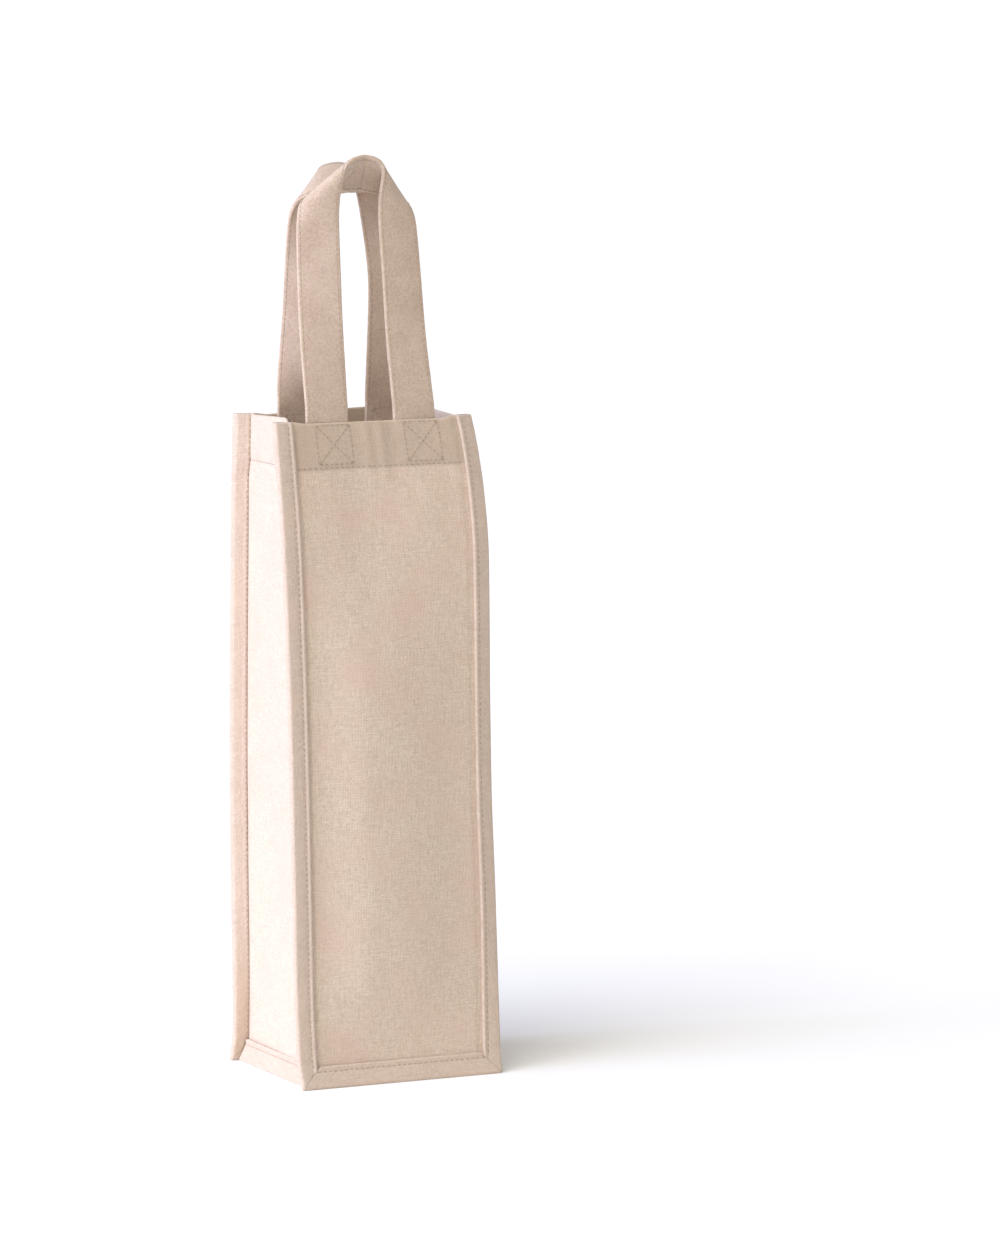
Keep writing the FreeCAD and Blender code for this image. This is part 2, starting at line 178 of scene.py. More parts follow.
def thicken(piece):
    bpy.ops.object.modifier_add(type="SOLIDIFY")
    solidify = piece.modifiers[-1]
    solidify.thickness = bag["cloth"] * mm
    solidify.offset = 0
    bpy.ops.object.modifier_apply(modifier=solidify.name)
    faceOutwards()
    bpy.ops.object.shade_smooth_by_angle(angle=radians(40))


def closeTube():
    # a grid whose two long edges meet becomes a closed tube
    bpy.ops.object.mode_set(mode="EDIT")
    bpy.ops.mesh.select_all(action="SELECT")
    bpy.ops.mesh.remove_doubles(threshold=0.01 * mm)
    bpy.ops.mesh.fill_holes(sides=0)
    faceOutwards()
    bpy.ops.object.shade_smooth_by_angle(angle=radians(50))


def finishPiece(piece, material, slot, *nodes):
    piece.data.materials.clear()
    piece.data.materials.append(material)
    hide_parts(*nodes)


def finishSheet(sheet, material, node):
    thicken(sheet)
    finishPiece(sheet, material, "canvas", node)
    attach(sheet, "bag")


def linear(hexColour):
    # sRGB hex to the linear values that the shaders take
    channels = [int(hexColour[i:i + 2], 16) / 255 for i in (1, 3, 5)]
    return [c / 12.92 if c <= 0.04045 else ((c + 0.055) / 1.055) ** 2.4 for c in channels] + [1.0]


def addNode(tree, kind, inputs=(), **settings):
    node = tree.nodes.new(kind)
    for key, value in settings.items():
        setattr(node, key, value)
    for socket, value in dict(inputs).items():
        if isinstance(value, bpy.types.NodeSocket):
            tree.links.new(value, node.inputs[socket])
        else:
            node.inputs[socket].default_value = value
    return node


def mixColour(tree, factor, first, second):
    # sockets 6 and 7 are the two colours
    sockets = {"Factor": factor, 6: first, 7: second}
    return addNode(tree, "ShaderNodeMix", sockets, data_type="RGBA").outputs[2]


def remap(tree, value, low, high, toLow=0.0, toHigh=1.0):
    limits = {"Value": value, "From Min": low, "From Max": high, "To Min": toLow, "To Max": toHigh}
    return addNode(tree, "ShaderNodeMapRange", limits).outputs["Result"]


def clouds(tree, place, scale, detail=2.0, output="Fac"):
    sockets = {"Vector": place, "Scale": scale, "Detail": detail}
    return addNode(tree, "ShaderNodeTexNoise", sockets).outputs[output]


def stretched(tree, place, scale, turn=0.0):
    sockets = {"Vector": place, "Rotation": (0, 0, turn), "Scale": scale}
    return addNode(tree, "ShaderNodeMapping", sockets).outputs["Vector"]


def maths(tree, operation, *values):
    return addNode(tree, "ShaderNodeMath", dict(enumerate(values)), operation=operation).outputs[0]


def vectorMaths(tree, operation, *values):
    return addNode(tree, "ShaderNodeVectorMath", dict(enumerate(values)), operation=operation).outputs[0]


def newMaterial(name):
    material = bpy.data.materials.new(name)
    material.use_nodes = True
    material.node_tree.nodes.clear()
    return material, material.node_tree


def mattCloth(tree, colour, height, look):
    bump = addNode(tree, "ShaderNodeBump", {
        "Height": height, "Strength": look["bump"], "Distance": look["relief"] * mm}).outputs["Normal"]
    shader = addNode(tree, "ShaderNodeBsdfPrincipled", {
        "Base Color": colour, "Normal": bump, "Roughness": look["rough"], "Specular IOR Level": 0.2,
        "Subsurface Weight": look["seeThrough"], "Subsurface Scale": look["lightDepth"] * mm,
        "Subsurface Radius": (1.0, 0.8, 0.62), "Sheen Weight": 0.9, "Sheen Roughness": 0.3}).outputs[0]
    addNode(tree, "ShaderNodeOutputMaterial", {"Surface": shader})


# Unbleached cotton canvas, plain woven: warm cream with a touch of pink, dry and matt, each crossing of
# its threads a little lighter or darker than the next, with a few brown specks of seed husk.
# The real threads lie about 0.6 mm apart, too fine to show, so they are drawn 0.85 mm apart.
canvasLook = {
    "light": "#EBD9C4", "dark": "#C8B19A", "pitShade": "#B89E85", "speck": "#A3876B", "blush": "#DEBDAB",
    # the hem's colour and strength are painted shade: the doubled hem lets less light through
    "hemShadeColour": "#B39D84", "hemShadeStrength": 0.4, "hemFrom": hemLine + 0.5, "hemStep": 1.5,
    "thread": 0.85, "patch": 32.0, "husk": 13.0, "bump": 0.3, "relief": 0.4, "rough": 0.92,
    "waver": 0.22, "waverBy": 0.5,
    "seeThrough": 0.3, "lightDepth": 3.0,  # one thin layer lets some light into the bag
}
# The same cloth cut in strips and folded over the seams, too thick to let light through: drawn greyer,
# painted shade of the thick folds.
bindingShadedLook = dict(canvasLook, light="#DECDBB", dark="#BFA994", blush="#DBC3AF", bump=0.28,
                   hemShadeStrength=0.0, seeThrough=0.0)
# On the sides the hem's painted shade is much fainter, as the light washes it out there: a lit copy of the
# canvas.
litSideLook = dict(canvasLook, hemShadeStrength=0.06)


def waveringThreads(tree, look, apart, turn=0.0):
    # the flat cloth, its even threads, the same threads wavering, and a shade for each of their crossings
    flat = addNode(tree, "ShaderNodeUVMap", uv_map="weave").outputs["UV"]
    perThread = 1 / (apart * mm)
    threads = stretched(tree, flat, (perThread, perThread, 1), turn)
    drift = clouds(tree, threads, look["waver"], output="Color")
    waved = vectorMaths(tree, "MULTIPLY_ADD", drift, (look["waverBy"], look["waverBy"], 0), threads)
    cell = vectorMaths(tree, "FLOOR", waved)
    fleck = addNode(tree, "ShaderNodeTexWhiteNoise", {"Vector": cell}).outputs["Value"]
    return flat, threads, waved, fleck


def wovenCotton(name, look):
    material, tree = newMaterial(name)
    flat, threads, waved, fleck = waveringThreads(tree, look, look["thread"])
    turned = addNode(tree, "ShaderNodeVectorMath", {0: waved, "Scale": pi}, operation="SCALE").outputs[0]
    axes = addNode(tree, "ShaderNodeSeparateXYZ", {0: vectorMaths(tree, "SINE", turned)})
    swell = maths(tree, "ABSOLUTE", maths(tree, "MULTIPLY", axes.outputs[0], axes.outputs[1]))
    raised = maths(tree, "POWER", swell, 0.6)
    # every crossing has its own shade, and single threads run thicker and thinner along and across
    weft = clouds(tree, stretched(tree, threads, (0.10, 0.9, 1)), 1.0, 3.0)
    warp = clouds(tree, stretched(tree, threads, (0.9, 0.10, 1)), 1.0, 3.0)
    mixed = maths(tree, "MULTIPLY_ADD", fleck, 0.5, maths(tree, "ADD", weft, warp))
    tone = remap(tree, mixed, 0.62, 1.88)
    plain = mixColour(tree, tone, linear(look["dark"]), linear(look["light"]))
    # faint pink patches, and painted shade in the pits between the threads
    blush = remap(tree, clouds(tree, flat, 1 / (look["patch"] * mm)), 0.42, 0.68, 0.0, 0.45)
    cloth = mixColour(tree, blush, plain, linear(look["blush"]))
    pitShaded = mixColour(tree, remap(tree, raised, 0.0, 0.5, 0.5, 0.0), cloth, linear(look["pitShade"]))
    # painted shade: where the hem is double less light comes through, so it is drawn darker
    upTheCloth = addNode(tree, "ShaderNodeSeparateXYZ", {0: flat}).outputs[1]
    hemFrom, hemFull = look["hemFrom"] * mm, (look["hemFrom"] + look["hemStep"]) * mm
    double = remap(tree, upTheCloth, hemFrom, hemFull, 0.0, look["hemShadeStrength"])
    hemShaded = mixColour(tree, double, pitShaded, linear(look["hemShadeColour"]))
    husks = addNode(tree, "ShaderNodeTexVoronoi", {"Vector": flat, "Scale": 1 / (look["husk"] * mm)})
    husk = remap(tree, husks.outputs["Distance"], 0.025, 0.045, 0.5, 0.0)
    colour = mixColour(tree, husk, hemShaded, linear(look["speck"]))
    height = maths(tree, "MULTIPLY_ADD", tone, 0.45, raised)
    mattCloth(tree, colour, height, look)
    return material


# Cotton twill strap, folded and edge-stitched: fine slanting ribs, a little smoother and duller than the
# canvas. The ribs are about 0.6 mm apart and are drawn 0.8 mm apart.
strapLook = {
    "light": "#DAC6B2", "dark": "#B9A38D", "grooveShade": "#A58C76", "rib": 0.8, "slant": 38.0, "patch": 14.0,
    "bump": 0.3, "relief": 0.35, "rough": 0.88, "seeThrough": 0.3, "lightDepth": 4.0,
    "waver": 0.3, "waverBy": 0.4,
}


def twillCotton(name, look):
    material, tree = newMaterial(name)
    # each rib is broken into short floats, every one with its own shade
    flat, _, waved, fleck = waveringThreads(tree, look, look["rib"], radians(look["slant"]))
    acrossRibs = addNode(tree, "ShaderNodeSeparateXYZ", {0: waved}).outputs[0]
    rib = remap(tree, maths(tree, "SINE", maths(tree, "MULTIPLY", acrossRibs, 2 * pi)), -1.0, 1.0)
    patches = clouds(tree, flat, 1 / (look["patch"] * mm))
    tone = remap(tree, maths(tree, "MULTIPLY_ADD", fleck, 0.7, patches), 0.25, 1.45)
    cloth = mixColour(tree, tone, linear(look["dark"]), linear(look["light"]))
    # painted shade in the grooves between the ribs
    colour = mixColour(tree, remap(tree, rib, 0.0, 0.6, 0.45, 0.0), cloth, linear(look["grooveShade"]))
    height = maths(tree, "ADD", rib, maths(tree, "MULTIPLY", tone, 0.4))
    mattCloth(tree, colour, height, look)
    return material


# Spun cotton sewing thread, drawn greyer and darker than the cloth: painted shade of the needle holes and
# dips the stitches lie in, with a soft low shine along each stitch.
threadShadedLook = {"light": "#C2AC97", "dark": "#98816B", "fibre": 0.5, "bump": 0.3, "relief": 0.15}


def spunThread(name, look):
    material, tree = newMaterial(name)
    place = addNode(tree, "ShaderNodeTexCoord").outputs["Object"]
    fibre = clouds(tree, place, 1 / (look["fibre"] * mm))
    colour = mixColour(tree, remap(tree, fibre, 0.3, 0.7), linear(look["dark"]), linear(look["light"]))
    bump = addNode(tree, "ShaderNodeBump", {
        "Height": fibre, "Strength": look["bump"], "Distance": look["relief"] * mm}).outputs["Normal"]
    shader = addNode(tree, "ShaderNodeBsdfPrincipled", {
        "Base Color": colour, "Normal": bump, "Roughness": 0.7, "Specular IOR Level": 0.3,
        "Sheen Weight": 0.15}).outputs[0]
    addNode(tree, "ShaderNodeOutputMaterial", {"Surface": shader})
    return material


canvas = wovenCotton("cottonCanvas", canvasLook)
# a lit copy of the canvas for the sides, with fainter painted hem shade
litSideCanvas = wovenCotton("cottonCanvasInLight", litSideLook)
foldedCanvasShaded = wovenCotton("foldedCanvasShaded", bindingShadedLook)
twill = twillCotton("cottonTwill", strapLook)
thread = spunThread("cottonThreadWithShade", threadShadedLook)
print("materials: canvas, canvas of the sides, folded canvas, twill strap, thread")

# Front and back panels: one sheet each, turned in at the mouth, between the bound side seams.
broadPanel = {
    "halfCut": 56.6, "low": 1.4, "foldRadius": 0.475,
    "across": 96, "body": 250, "turn": 8, "inside": 30,
    "stitchDip": 0.35, "dipWidth": 1.3, "hemRow": 2.3, "seamEdge": 2.0, "sagOver": 9.0,
    "press": 0.5,  # the stitches press the hem's two layers together
    "crease": 0.45, "creaseAt": 3.3, "creaseWidth": 1.3,  # pulled in beside the binding
}
hemZ = hemLine + broadPanel["hemRow"]
# the belly of each broad panel, and between which heights it fills out and fades
belly = {-1: {"depth": 5.0, "rise": 34.0, "fall": 52.0}, 1: {"depth": 2.6, "rise": 46.0, "fall": 46.0}}
bellyReach = {"from": 12.0, "fill": 55.0, "until": 205.0, "fade": 95.0, "inset": 1.0}
# slow hollows and swells of the standing cloth: x, z, width, height, depth outwards, all in mm
panelSwells = {
    -1: [(24, 300, 13, 26, 0.8), (-12, 292, 12, 40, -0.9), (6, 338, 34, 40, -0.9), (-32, 285, 12, 40, 0.7),
         (-5.5, 338, 2.6, 16, 1.1), (2.5, 338, 2.6, 16, 1.1), (9, 337, 4, 16, -0.9)],
    1: [(14, 120, 28, 80, 0.8), (-24, 210, 18, 80, -0.8), (-4, 335, 34, 44, -1.0), (28, 270, 16, 60, 0.6)],
}
swellReach = {"from": 8.0, "fill": 30.0, "hemFrom": 318.0, "hemOver": 12.0, "onHem": 0.5}
ripple = {"depth": 0.35, "wide": 22.0, "high": 34.0, "seed": 4.0}


def panelSwell(face, x, z):
    half = bag["halfWidth"]
    swell = sum(depth * exp(-((x - atX) / wide) ** 2 - ((z - atZ) / high) ** 2)
                for atX, atZ, wide, high, depth in panelSwells[face])
    place = x / ripple["wide"], z / ripple["high"], ripple["seed"] * face
    swell += ripple["depth"] * noise.noise(Vector(place))
    inside = max(0.0, 1 - (abs(x) / half) ** 4) * smooth((z - swellReach["from"]) / swellReach["fill"])
    # the doubled hem lies flatter
    quiet = 1 - swellReach["onHem"] * smooth((z - swellReach["hemFrom"]) / swellReach["hemOver"])
    shape, inset = belly[face], bellyReach["inset"]
    full = shape["depth"] * smooth((x + half - inset) / shape["rise"])
    full *= 1 - smooth((x - half + inset + shape["fall"]) / shape["fall"])
    full *= smooth((z - bellyReach["from"]) / bellyReach["fill"])
    full *= 1 - smooth((z - bellyReach["until"]) / bellyReach["fade"])
    crease = exp(-((abs(x) - half + broadPanel["creaseAt"]) / broadPanel["creaseWidth"]) ** 2)
    return swell * inside * quiet + full - broadPanel["crease"] * crease


def sagAt(x):
    inside = bag["halfWidth"] - broadPanel["seamEdge"] - abs(x)
    return bag["topSag"] * smooth(inside / broadPanel["sagOver"])


def hemDip(z):
    # the cloth sinks under the hem's row of stitches
    return broadPanel["stitchDip"] * exp(-((z - hemZ) / broadPanel["dipWidth"]) ** 2)


def hemmed(place, top, low, t, rows):
    # t runs up the outside, over the fold and down the inside; place takes the height and the depth inwards
    body, turn, inside = rows
    radius = broadPanel["foldRadius"]
    turnAt = top - radius - bag["cloth"] / 2
    row = t * (body + turn + inside)
    if row <= body:
        v = low + (turnAt - low) * row / body
        return place(v, 0.0), v
    if row <= body + turn:
        angle = pi * (row - body) / turn
        return place(turnAt + radius * sin(angle), radius * (1 - cos(angle))), turnAt + radius * angle
    drop = (row - body - turn) / inside * (turnAt - hemLine)
    return place(turnAt - drop, 2 * radius), turnAt + pi * radius + drop


def makeBroadPanel(face, name, node):
    rows = broadPanel["body"], broadPanel["turn"], broadPanel["inside"]

    def place(s, t):
        x = broadPanel["halfCut"] * (2 * s - 1)

        def at(z, inward):
            dip = hemDip(z) if abs(x) < bag["halfWidth"] - broadPanel["seamEdge"] else 0
            inward *= 1 - broadPanel["press"] * dip
            depth = bag["cloth"] / 2 + inward - panelSwell(face, x, z) + dip
            return onSeam(face, x, depth, z)

        point, v = hemmed(at, bag["height"] - sagAt(x), broadPanel["low"], t, rows)
        return point, (x, v)

    panel = layGrid(name, broadPanel["across"], sum(rows), place)
    finishSheet(panel, canvas, node)


makeBroadPanel(-1, "frontPanel", "front_panel")
makeBroadPanel(1, "backPanel", "back_panel")
print("front and back panels: hemmed sheets")

# Side panels: the same hem, and a seam allowance turned outwards along each upright edge.
sidePanel = {
    "allowance": 7.1, "round": 0.9, "low": 8.6, "wallEdge": 3.0,
    "across": 90, "body": 240, "turn": 8, "inside": 30,
    "bow": 2.2, "bowFrom": 20.0, "bowFill": 90.0,  # the sides draw in a little between the seams
    "ease": 0.35, "easeFrom": 300.0, "easeOver": 50.0,  # less so at the mouth
    "ripple": 0.35, "rippleShare": 4, "rippleHigh": 36, "rippleSeed": 9.0,
    "lift": {-1: 2.4, 1: 0.0},  # the left one stands above the front's hem
    "sag": 0.7, "edgeFrom": 0.08, "edgeOver": 0.07,
}


def sidePath(side, z, share):
    # plan of the side panel at one height: allowance, wall, allowance; share runs from front to back
    inward = layers(z) + bag["layerGap"] + bag["cloth"] / 2
    wall = side * (bag["halfWidth"] - bag["cloth"] / 2)
    tip = side * (bag["halfWidth"] + sidePanel["allowance"])
    turns = ((-1, tip), (-1, wall), (1, wall), (1, tip))
    corners = [Vector(onSeam(face, x, inward, z)[:2]) for face, x in turns]
    ends = [(corners[i + 1] - corners[i]).length for i in range(3)]
    along = share * sum(ends)
    start = 0.0
    for i in range(3):
        if along <= start + ends[i] or i == 2:
            break
        start += ends[i]
    at = corners[i].lerp(corners[i + 1], min(1.0, (along - start) / ends[i]))
    # the two corners are rounded
    for k in (1, 2):
        near = (along - sum(ends[:k])) / sidePanel["round"]
        if abs(near) < 1:
            before = corners[k] + (corners[k - 1] - corners[k]).normalized() * sidePanel["round"]
            after = corners[k] + (corners[k + 1] - corners[k]).normalized() * sidePanel["round"]
            f = (near + 1) / 2
            at = before * (1 - f) ** 2 + corners[k] * 2 * f * (1 - f) + after * f ** 2
    onWall = smooth(min(along - ends[0], ends[0] + ends[1] - along) / sidePanel["wallEdge"])
    return at, onWall, (along - ends[0]) / ends[1], along


def drawnIn(side, share, z, onWall=1.0):
    # how far the wall stands inwards; share runs from front to back
    bow = sidePanel["bow"] * max(0.0, 4 * share * (1 - share))
    bow *= smooth((z - sidePanel["bowFrom"]) / sidePanel["bowFill"])
    bow *= 1 - sidePanel["ease"] * smooth((z - sidePanel["easeFrom"]) / sidePanel["easeOver"])
    place = share * sidePanel["rippleShare"], z / sidePanel["rippleHigh"], sidePanel["rippleSeed"] * side
    return bow + onWall * sidePanel["ripple"] * noise.noise(Vector(place))


def makeSidePanel(side, name, node):
    rows = sidePanel["body"], sidePanel["turn"], sidePanel["inside"]

    def place(s, t):
        flatAt = [0.0]

        def at(z, inward):
            point, onWall, share, flatAt[0] = sidePath(side, z, s)
            dip = hemDip(z)
            inward *= 1 - broadPanel["press"] * dip
            step = (drawnIn(side, share, z, onWall) + dip + inward) * onWall
            drop = slump(1, side * bag["halfWidth"], z) * min(1.0, max(0.0, share))
            return point.x - side * step, point.y, z - drop

        onEdge = smooth((0.5 - abs(s - 0.5) - sidePanel["edgeFrom"]) / sidePanel["edgeOver"])
        stand = sidePanel["lift"][side] * (1 - s) - sidePanel["sag"] * bag["topSag"] * s
        point, v = hemmed(at, bag["height"] + stand * onEdge, sidePanel["low"], t, rows)
        return point, (flatAt[0], v)

    panel = layGrid(name, sidePanel["across"], sum(rows), place)
    finishSheet(panel, litSideCanvas, node)


makeSidePanel(-1, "leftSidePanel", "left_side_panel")
makeSidePanel(1, "rightSidePanel", "right_side_panel")
print("side panels: hemmed sheets with turned-out allowances")

# Base panel: a flat sheet that hangs between its turned-down edges.
baseSheet = {
    "across": 80, "deep": 74, "sag": 0.9, "skirt": 8.5, "bend": 1.2, "bendWidth": 2.5, "clear": 0.3,
}


def makeBasePanel():
    halfX = bag["halfWidth"] - bag["cloth"] / 2 - baseSheet["clear"]
    halfY = bag["halfDepth"] - layers(0) - bag["layerGap"] - bag["cloth"] / 2

    def place(s, t):
        x, y = halfX * (2 * s - 1), halfY * (2 * t - 1)
        hang = baseSheet["sag"] * (1 - (x / halfX) ** 2) * (1 - (y / halfY) ** 2)
        edge = min(halfX - abs(x), halfY - abs(y))
        bend = baseSheet["bend"] * max(0.0, 1 - edge / baseSheet["bendWidth"]) ** 2
        z = bag["baseLevel"] - bag["cloth"] / 2 - hang - bend
        return (bag["middle"] + x, y, z), (x, y)

    base = layGrid("basePanel", baseSheet["across"], baseSheet["deep"], place)
    bpy.ops.object.mode_set(mode="EDIT")
    bpy.ops.mesh.select_all(action="DESELECT")
    bpy.ops.mesh.select_mode(type="EDGE")
    bpy.ops.mesh.select_non_manifold()
    widen = 1 + bag["flare"] / bag["halfWidth"]
    down = -(baseSheet["skirt"] - baseSheet["bend"]) * mm
    bpy.ops.mesh.extrude_region_move(TRANSFORM_OT_translate={"value": (0, 0, down)})
    bpy.ops.transform.resize(value=(widen, widen, 1), center_override=(bag["middle"] * mm, 0, 0))
    bpy.ops.mesh.select_mode(type="VERT")
    bpy.ops.object.mode_set(mode="OBJECT")
    finishSheet(base, canvas, "base_panel")


makeBasePanel()
print("base panel: hanging sheet with turned-down edges")

# Binding: a strip of canvas folded round each raw seam, its two edges caught by one row of stitches.
tape = {
    "thick": 1.2, "lap": 2.0, "backEnd": 0.15, "tipRound": 0.9, "outline": 36, "rowLength": 0.95,
    "row": 0.9, "dip": 0.3, "dipWidth": 0.9, "pitch": 3.0, "pucker": 0.25,
    "puff": 0.1, "puffAt": 0.55, "puffWidth": 2.2,
    "ridge": 0.5, "baseRidge": 0.25, "ridgeAt": 0.75,  # the folded edge stands up beside the stitches
    "pinch": 0.3, "pinchLength": 1.2,  # the strip's ends are pinched thinner
    "mitreGap": 0.08, "baseShort": 6.0, "sideShort": 3.75, "sideFlare": 1.5, "sideBend": 1.2,
    "swellFrom": 9.0,
}


def tapeOutline(core, tip, thin, dip, ridge):
    # closed outline of the folded strip: how far out from the seam, how deep inwards, and its place
    # across the flat strip
    thick = tape["thick"]
    half = thick / 2 * thin
    frontArm, backArm = -bag["layerGap"] - thick / 2, core + bag["layerGap"] + thick / 2
    radius, centre = (backArm - frontArm) / 2, (backArm + frontArm) / 2
    turnAt = tip - tape["tipRound"] - thick / 2
    first, last = -tape["lap"] + thick / 2, tape["backEnd"] + thick / 2
    runs = turnAt - first, pi * radius, turnAt - last

    def middleLine(d):
        if d <= runs[0]:
            return first + d, frontArm, 0.0, -1.0
        if d <= runs[0] + runs[1]:
            angle = (d - runs[0]) / radius
            out, depth = turnAt + tape["tipRound"] * sin(angle), centre - radius * cos(angle)
            return out, depth, sin(angle), -cos(angle)
        return turnAt - (d - runs[0] - runs[1]), backArm, 0.0, 1.0

    outer, inner = [], []
    for i in range(tape["outline"] + 1):
        d = sum(runs) * i / tape["outline"]
        a, depth, na, nd = middleLine(d)
        sunk = dip * exp(-((a - tape["row"]) / tape["dipWidth"]) ** 2) if na == 0 else 0.0
        rise = tape["puff"] * exp(-((a - tip * tape["puffAt"]) / tape["puffWidth"]) ** 2) * thin
        rise += ridge * exp(-((a + tape["ridgeAt"]) / tape["ridgeAt"]) ** 2) * thin
        outer.append((a + na * (half - sunk + rise), depth + nd * (half - sunk + rise), d))
        inner.append((a - na * half, depth - nd * half, d))
    quarters = pi / 4, pi / 2, 3 * pi / 4
    endCap = [(last - half * sin(f), backArm + half * cos(f), sum(runs)) for f in quarters]
    startCap = [(first - half * sin(f), frontArm + half * cos(f), 0.0) for f in quarters]
    return outer + endCap + inner[::-1] + startCap


def coreAt(z):
    # the strip swells slowly over the doubled hem
    double = smooth((z - hemLine + tape["swellFrom"]) / (tape["swellFrom"] + bag["hemStep"]))
    return 2 * bag["cloth"] * (1 + double) + bag["layerGap"]


def roundedEnd(t, length):
    near = min(1.0, min(t, 1 - t) * length / tape["pinchLength"])
    return 1 - tape["pinch"] + tape["pinch"] * sqrt(max(0.0, 1 - (1 - near) ** 2))


def pucker(s):
    return 1 - tape["pucker"] + tape["pucker"] * cos(2 * pi * s / tape["pitch"])


def makeBinding(name, node, length, tip, ridge, place, upright=False):
    columns = 2 * (tape["outline"] + 1) + 6
    rows = int(length / tape["rowLength"])
    outlines = {}

    def at(s, t):
        row = round(t * rows)
        if row not in outlines:
            core = coreAt(t * length if upright else 0)
            dip = tape["dip"] * pucker(t * length)
            outlines[row] = tapeOutline(core, tip, roundedEnd(t, length), dip, ridge)
        a, depth, d = outlines[row][round(s * columns) % columns]
        return place(a, depth, t), (d, t * length)

    strip = layGrid(name, columns, rows, at)
    closeTube()
    finishPiece(strip, foldedCanvasShaded, "binding_tape", node)
    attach(strip, "bag")


def uprightPlace(face, side):
    def place(a, depth, t):
        low = bag["flange"] - a + tape["mitreGap"]
        return onSeam(face, side * (bag["halfWidth"] + a), depth, low + t * (bag["height"] - low))
    return place


def basePlace(face):
    def place(a, depth, t):
        z = bag["baseLevel"] - a
        reach = bag["halfWidth"] + bag["flange"] - z - tape["mitreGap"]
        return seamX(face, reach * (2 * t - 1), z), face * (seamY(z) - depth), z
    return place


def sideX(side, z, depth):
    # the sides spread towards the floor too
    spread = bag["flare"] * tape["sideFlare"] * max(0.0, 1 - z / bag["baseLevel"]) ** tape["sideBend"]
    return bag["middle"] + side * (bag["halfWidth"] + spread - depth)


def sideBasePlace(side):
    def place(a, depth, t):
        z = bag["baseLevel"] - a
        return sideX(side, z, depth), (seamY(z) - tape["sideShort"]) * (2 * t - 1), z
    return place


for word, face in faces.items():
    for sideWord, side in sides.items():
        makeBinding(f"{word}{sideWord.title()}Binding", f"{word}_{sideWord}_binding", bag["height"],
                    bag["flange"], tape["ridge"], uprightPlace(face, side), upright=True)
    makeBinding(f"{word}BaseBinding", f"{word}_base_binding",
                2 * (bag["halfWidth"] + bag["flange"]) - tape["baseShort"],
                bag["baseLevel"], tape["baseRidge"], basePlace(face))
for sideWord, side in sides.items():
    makeBinding(f"{sideWord}BaseBinding", f"{sideWord}_base_binding",
                2 * bag["halfDepth"] - tape["baseShort"],
                bag["baseLevel"], tape["baseRidge"] / 2, sideBasePlace(side))
print("bindings: eight folded strips")

# Handles: a flat strap each, folded on a slant at the top of each leg and bent once more in its middle.
# The folds are then softened, the legs turn a little outwards and the middle tips over.
strap = {
    "width": 24.0, "thick": 2.4, "legSpacing": 50.985, "foldRadius": 4.5, "taper": 0.09,
    "rootZ": 350.4, "sewn": 24.0, "hingeY": 45.2, "hingeBand": 4.0,
    "row": 10.1, "dip": 0.22, "dipWidth": 0.8, "puff": 0.12, "edge": 0.9,
    "rowLength": 1.0, "columns": 25,
    "legTop": 95.0, "legFade": 40.0, "tipEase": 6.0, "leanOver": 14.0,  # heights above the hem
    "shiftOver": 60.0, "bowOver": 50.0, "topFrom": 60.0, "topOver": 60.0, "besideMiddle": 16.0,
    "softFrom": 6.0, "softOver": 50.0, "creaseRun": 9.0, "creaseWidth": 2.2, "creaseFade": 1.2,
}
# the turns of the two legs are pairs of height above the hem in mm and degrees
handles = {
    "front": {
        "face": -1, "centre": -10.25, "rise": 141.5, "fold": 142.0, "crown": 12.0, "lean": 6.0,
        "soft": 8.0, "crease": 1.6, "tipFrom": 112.0, "tip": 40.0,
        "shift": -1.4, "leftBase": 1.3, "legShift": -0.4, "rightBow": -1.6, "rightTop": -3.0,
        "leftTurn": [(-30, 0), (0, 0), (35, 8), (70, 16), (95, 16), (135, 0), (170, 0), (200, 0)],
        "rightTurn": [(-30, 0), (0, 0), (35, 2), (70, 4), (95, 4), (135, 0), (170, 0), (200, 0)],
    },
    "rear": {
        "face": 1, "centre": 10.25, "rise": 139.0, "fold": 148.0, "crown": 8.0, "lean": 5.0,
        "soft": 8.0, "crease": 0.8, "tipFrom": 112.0, "tip": 62.0,
        "shift": 1.4, "leftBase": 0.0, "legShift": 0.8, "rightBow": 0.4, "rightTop": -8.6,
        "leftTurn": [(-30, 0), (0, 0), (12, -18), (30, -33), (62, -34), (100, -12), (135, 0), (170, 0),
                     (200, 0)],
        "rightTurn": [(-30, 0), (0, 0), (35, 7), (70, 13), (95, 12), (135, 0), (170, 0), (200, 0)],
    },
}


